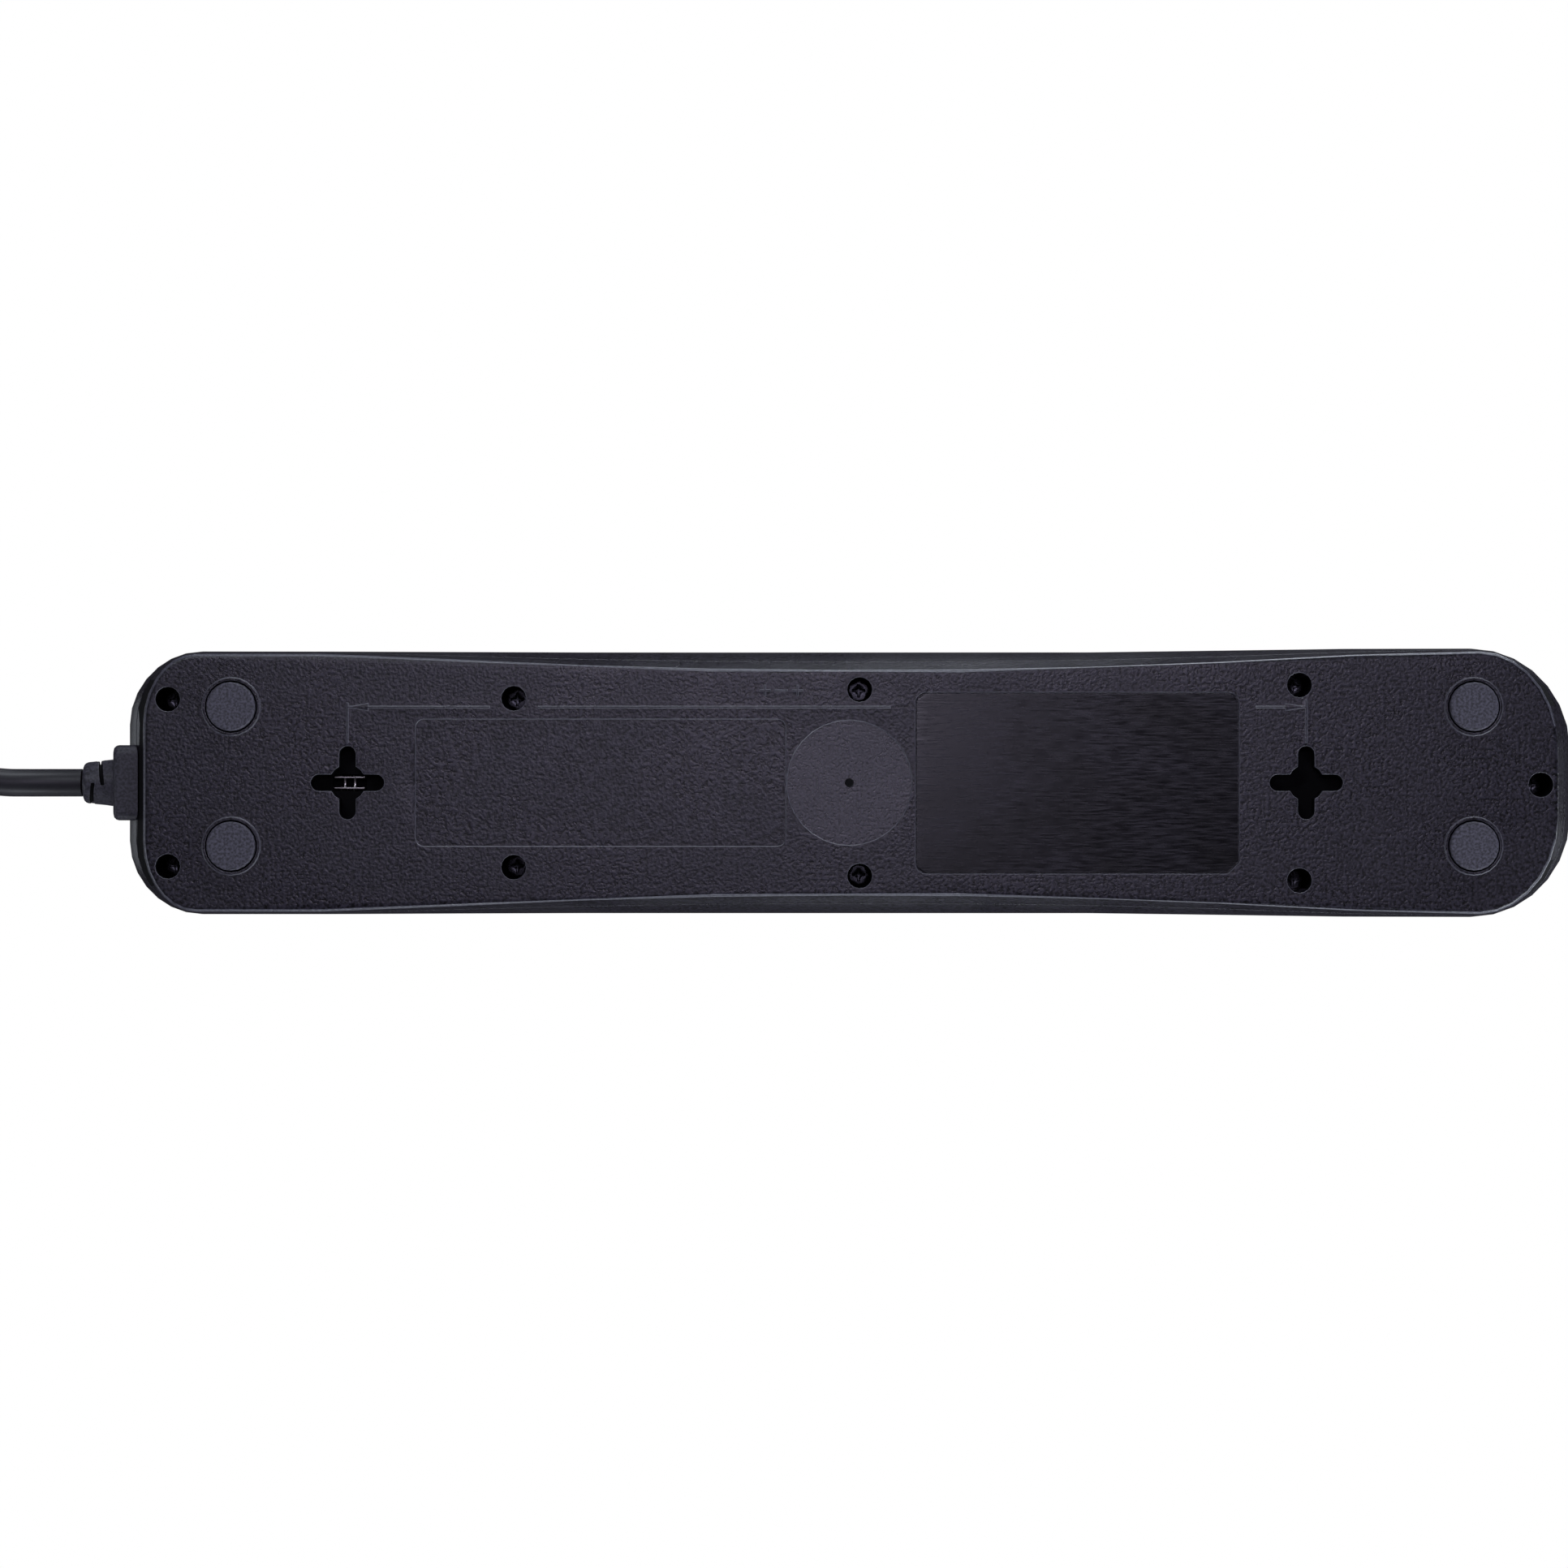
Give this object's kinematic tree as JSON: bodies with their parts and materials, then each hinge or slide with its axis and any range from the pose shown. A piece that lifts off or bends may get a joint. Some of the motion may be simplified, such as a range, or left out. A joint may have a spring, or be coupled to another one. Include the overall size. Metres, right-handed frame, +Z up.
{
  "type": "power strip",
  "caption": "Long flat-bottomed power strip with round earthed socket wells, a lit rocker switch, hanging keyholes underneath, rubber feet and a coiled mains lead with a plug.",
  "frame": {"origin": "under the middle of the body, on the plane that the rubber feet stand on", "axes": "+X along the strip away from the lead, +Y across it, +Z up out of the sockets"},
  "size_m": [0.4916, 0.0964, 0.0523],
  "materials": {
    "black_shell": "black moulded plastic, fine spark texture",
    "label": "thin satin film, blank",
    "foot_rubber": "soft grey-black rubber",
    "screw_steel": "zinc-plated steel",
    "insert_plastic": "black moulded plastic, satin",
    "shutter_plastic": "red-brown moulded plastic",
    "contact_brass": "bare brass strip",
    "earth_nickel": "nickel-plated spring strip",
    "rocker_red": "translucent red, glossy",
    "lamp_glass": "clear glass capsule",
    "core_brown": "brown insulation",
    "core_blue": "blue insulation",
    "core_earth": "green and yellow insulation",
    "cord_black": "black flexible sheath",
    "tie_black": "woven hook-and-loop strap",
    "pin_nickel": "nickel-plated pins"
  },
  "bodies": {
    "housing": {"base_cover": "black_shell", "top_cover": "black_shell", "rating_label": "label", "foot_1": "foot_rubber", "foot_2": "foot_rubber", "foot_3": "foot_rubber", "foot_4": "foot_rubber", "cover_screw_1": "screw_steel", "cover_screw_2": "screw_steel", "cover_screw_3": "screw_steel", "cover_screw_4": "screw_steel", "cover_screw_5": "screw_steel", "cover_screw_6": "screw_steel", "cover_screw_7": "screw_steel", "cover_screw_8": "screw_steel", "cover_screw_9": "screw_steel", "socket_insert_1": "insert_plastic", "socket_insert_2": "insert_plastic", "socket_insert_3": "insert_plastic", "socket_insert_4": "insert_plastic", "socket_insert_5": "insert_plastic", "socket_insert_6": "insert_plastic", "live_bar": "contact_brass", "neutral_bar": "contact_brass", "earth_bar": "earth_nickel", "switch_housing": "black_shell", "switch_lamp": "lamp_glass", "terminal_live_in": "contact_brass", "terminal_live_out": "contact_brass", "terminal_neutral_in": "contact_brass", "terminal_neutral_out": "contact_brass", "wire_live_in": "core_brown", "wire_neutral_in": "core_blue", "wire_live_out": "core_brown", "wire_neutral_out": "core_blue", "wire_earth": "core_earth", "cord_gland": "black_shell", "cord_jacket_end": "cord_black", "clamp_bar": "black_shell", "clamp_screw_1": "screw_steel", "clamp_screw_2": "screw_steel", "cord_lead": "cord_black", "cord_coil": "cord_black", "cord_tail": "cord_black", "coil_tie": "tie_black", "plug_body": "cord_black", "plug_pin_1": "pin_nickel", "plug_pin_2": "pin_nickel", "plug_earth_strip_1": "earth_nickel", "plug_earth_strip_2": "earth_nickel"},
    "rocker": {"rocker": "rocker_red"},
    "shutter_1": {"shutter_1": "shutter_plastic"},
    "shutter_2": {"shutter_2": "shutter_plastic"},
    "shutter_3": {"shutter_3": "shutter_plastic"},
    "shutter_4": {"shutter_4": "shutter_plastic"},
    "shutter_5": {"shutter_5": "shutter_plastic"},
    "shutter_6": {"shutter_6": "shutter_plastic"}
  },
  "joints": [
    {"name": "rocker_hinge", "type": "hinge", "parent": "housing", "child": "rocker", "pos_m": [0.137, 0, 0.0375], "axis": [0, 1, 0], "range_deg": [0, 14]},
    {"name": "shutter_1_turn", "type": "hinge", "parent": "housing", "child": "shutter_1", "pos_m": [-0.14345, 0, 0.0206], "axis": [0, 0, 1], "range_deg": [0, 40], "stiffness_Nm_per_rad": 0.002},
    {"name": "shutter_2_turn", "type": "hinge", "parent": "housing", "child": "shutter_2", "pos_m": [-0.10195, 0, 0.0206], "axis": [0, 0, 1], "range_deg": [0, 40], "stiffness_Nm_per_rad": 0.002},
    {"name": "shutter_3_turn", "type": "hinge", "parent": "housing", "child": "shutter_3", "pos_m": [-0.06045, 0, 0.0206], "axis": [0, 0, 1], "range_deg": [0, 40], "stiffness_Nm_per_rad": 0.002},
    {"name": "shutter_4_turn", "type": "hinge", "parent": "housing", "child": "shutter_4", "pos_m": [-0.01895, 0, 0.0206], "axis": [0, 0, 1], "range_deg": [0, 40], "stiffness_Nm_per_rad": 0.002},
    {"name": "shutter_5_turn", "type": "hinge", "parent": "housing", "child": "shutter_5", "pos_m": [0.02255, 0, 0.0206], "axis": [0, 0, 1], "range_deg": [0, 40], "stiffness_Nm_per_rad": 0.002},
    {"name": "shutter_6_turn", "type": "hinge", "parent": "housing", "child": "shutter_6", "pos_m": [0.06405, 0, 0.0206], "axis": [0, 0, 1], "range_deg": [0, 40], "stiffness_Nm_per_rad": 0.002}
  ]
}
